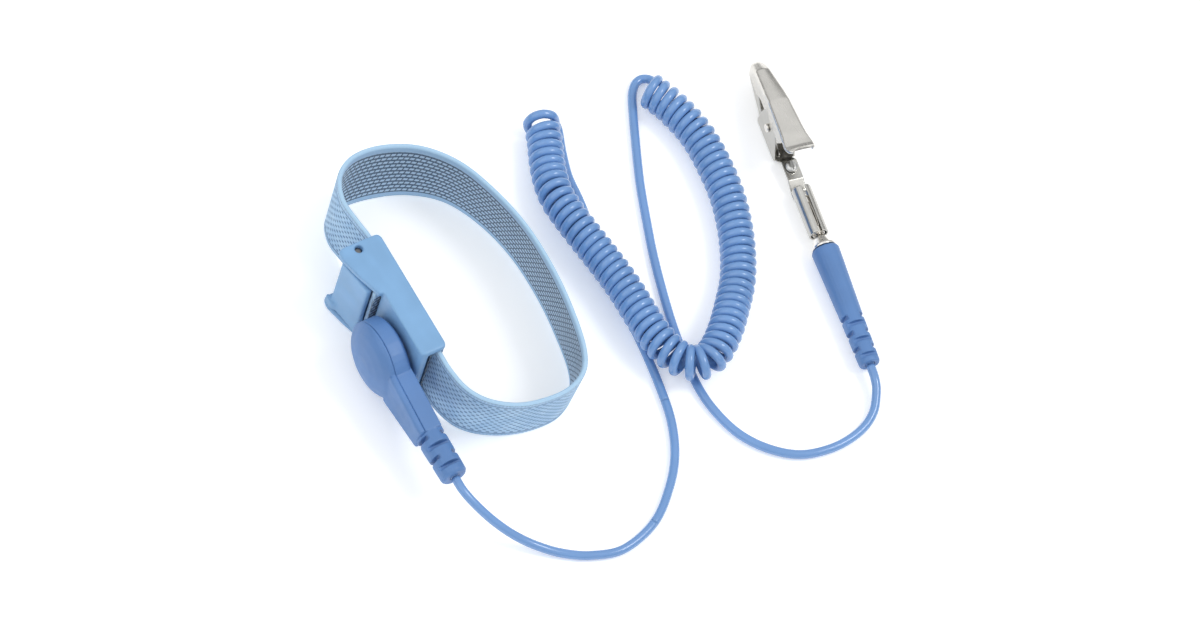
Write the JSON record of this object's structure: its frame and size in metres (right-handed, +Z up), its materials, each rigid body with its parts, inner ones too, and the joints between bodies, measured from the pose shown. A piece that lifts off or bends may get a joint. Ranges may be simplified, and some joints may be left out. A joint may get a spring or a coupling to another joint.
{
  "type": "antistatic wrist strap",
  "caption": "Elastic wristband with a cam-lever buckle and press stud, snap connector, curly cord, banana plug and alligator clip.",
  "frame": {"origin": "centre of the buckle's lower side, where it stands on the table", "axes": "+X along the buckle towards the snap's cord exit, +Y from the buckle's outer face into the wrist loop, +Z up across the band's width"},
  "size_m": [0.1189, 0.1382, 0.026],
  "materials": {
    "web": "knitted elastic webbing with light blue faces, and grey conductive threads on the skin side",
    "buckle_plastic": "satin light blue moulding",
    "snap_plastic": "satin mid blue soft moulding",
    "cord": "satin light blue insulation",
    "steel": "brushed stainless steel",
    "nickel": "bright nickel plate",
    "copper": "tinned copper strands",
    "resistor": "tan lacquer"
  },
  "bodies": {
    "root": {"band_elastic": "web", "band_end_crimp": "steel", "buckle_housing": "buckle_plastic", "lever_pin": "steel", "skin_plate": "steel", "snap_stud": "nickel", "cord_lead_snap": "cord", "cord_coil": "cord", "cord_lead_clip": "cord", "plug_boot": "snap_plastic", "banana_plug": "nickel", "plug_spring": "nickel", "cord_end_plug": "cord", "wire_end_plug": "copper"},
    "lever": {"buckle_lever": "buckle_plastic"},
    "snap_ring": {"socket_spring": "steel"},
    "snap_head": {"snap_housing": "snap_plastic", "snap_cap": "snap_plastic", "snap_socket": "nickel", "resistor_body": "resistor", "resistor_lead_socket": "nickel", "resistor_lead_cord": "nickel", "wire_end_snap": "copper", "cord_end_snap": "cord"},
    "clip_body": {"clip_lower_jaw": "nickel", "clip_pivot_rivet": "nickel", "clip_spring": "steel", "clip_screw": "steel"},
    "clip_jaw": {"clip_upper_jaw": "nickel"}
  },
  "joints": [
    {"name": "lever_hinge", "type": "hinge", "parent": "root", "child": "lever", "pos_m": [-0.0156, -0.0033, 0.013], "axis": [0, 0, -1], "range_deg": [0, 95]},
    {"name": "snap_pull", "type": "slide", "parent": "root", "child": "snap_ring", "axis": [0, -1, 0], "range_m": [0, 0.008], "deforming": ["cord_lead_snap"]},
    {"name": "snap_swivel", "type": "hinge", "parent": "snap_ring", "child": "snap_head", "pos_m": [0.0083, -0.0076, 0.013], "axis": [0, -1, 0], "range_deg": [0, 60], "deforming": ["cord_lead_snap"]},
    {"name": "clip_pull", "type": "slide", "parent": "root", "child": "clip_body", "axis": [-0.9839, 0.1788, 0], "range_m": [0, 0.018]},
    {"name": "jaw_hinge", "type": "hinge", "parent": "clip_body", "child": "clip_jaw", "pos_m": [-0.01058, 0.12036, 0.0058], "axis": [0.1788, 0.9839, 0], "range_deg": [0, 28], "stiffness_Nm_per_rad": 0.03, "springref_deg": -34.38, "deforming": ["clip_spring"]}
  ]
}
